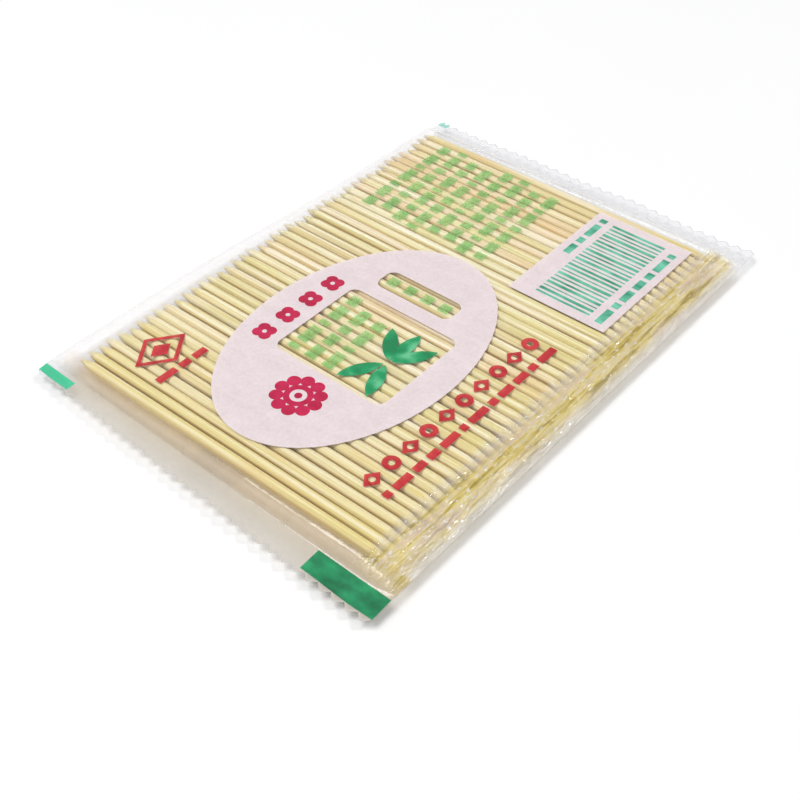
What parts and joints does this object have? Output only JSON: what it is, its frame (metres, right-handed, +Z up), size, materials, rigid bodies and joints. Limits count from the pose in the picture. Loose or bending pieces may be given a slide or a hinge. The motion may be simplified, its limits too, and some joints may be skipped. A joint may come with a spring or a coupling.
{
  "type": "pack of toothpicks",
  "caption": "Flat sealed pack of double-pointed bamboo toothpicks in a clear printed film bag with zigzag ends.",
  "frame": {"origin": "middle of the underside, on the surface that the pack lies on", "axes": "+X along the toothpicks, +Y along the bag from one sealed end to the other, +Z up through the printed side"},
  "size_m": [0.075, 0.1082, 0.0042],
  "materials": {
    "clear_film": "clear, glossy and crinkled",
    "bamboo": "smooth bare bamboo",
    "white_ink": "white ink under glossy film",
    "pale_green_ink": "thin green ink",
    "green_ink": "green ink",
    "teal_ink": "teal ink",
    "red_ink": "red ink",
    "crimson_ink": "crimson ink"
  },
  "bodies": {
    "root": {"film_bag": "clear_film", "toothpick_01": "bamboo", "toothpick_02": "bamboo", "toothpick_03": "bamboo", "toothpick_04": "bamboo", "toothpick_05": "bamboo", "toothpick_06": "bamboo", "toothpick_07": "bamboo", "toothpick_08": "bamboo", "toothpick_09": "bamboo", "toothpick_10": "bamboo", "toothpick_11": "bamboo", "toothpick_12": "bamboo", "toothpick_13": "bamboo", "toothpick_14": "bamboo", "toothpick_15": "bamboo", "toothpick_16": "bamboo", "toothpick_17": "bamboo", "toothpick_18": "bamboo", "toothpick_19": "bamboo", "toothpick_20": "bamboo", "toothpick_21": "bamboo", "toothpick_22": "bamboo", "toothpick_23": "bamboo", "toothpick_24": "bamboo", "toothpick_25": "bamboo", "toothpick_26": "bamboo", "toothpick_27": "bamboo", "toothpick_28": "bamboo", "toothpick_29": "bamboo", "toothpick_30": "bamboo", "toothpick_31": "bamboo", "toothpick_32": "bamboo", "toothpick_33": "bamboo", "toothpick_34": "bamboo", "toothpick_35": "bamboo", "toothpick_36": "bamboo", "toothpick_37": "bamboo", "toothpick_38": "bamboo", "toothpick_39": "bamboo", "toothpick_40": "bamboo", "toothpick_41": "bamboo", "toothpick_42": "bamboo", "toothpick_43": "bamboo", "toothpick_44": "bamboo", "toothpick_45": "bamboo", "lower_toothpicks_1": "bamboo", "lower_toothpicks_2": "bamboo", "lower_toothpicks_3": "bamboo", "lower_toothpicks_4": "bamboo", "lower_toothpicks_5": "bamboo", "lower_toothpicks_6": "bamboo", "lower_toothpicks_7": "bamboo", "lower_toothpicks_8": "bamboo", "white_print": "white_ink", "pale_green_print": "pale_green_ink", "green_print": "green_ink", "teal_print": "teal_ink", "red_print": "red_ink", "crimson_print": "crimson_ink"}
  },
  "joints": []
}
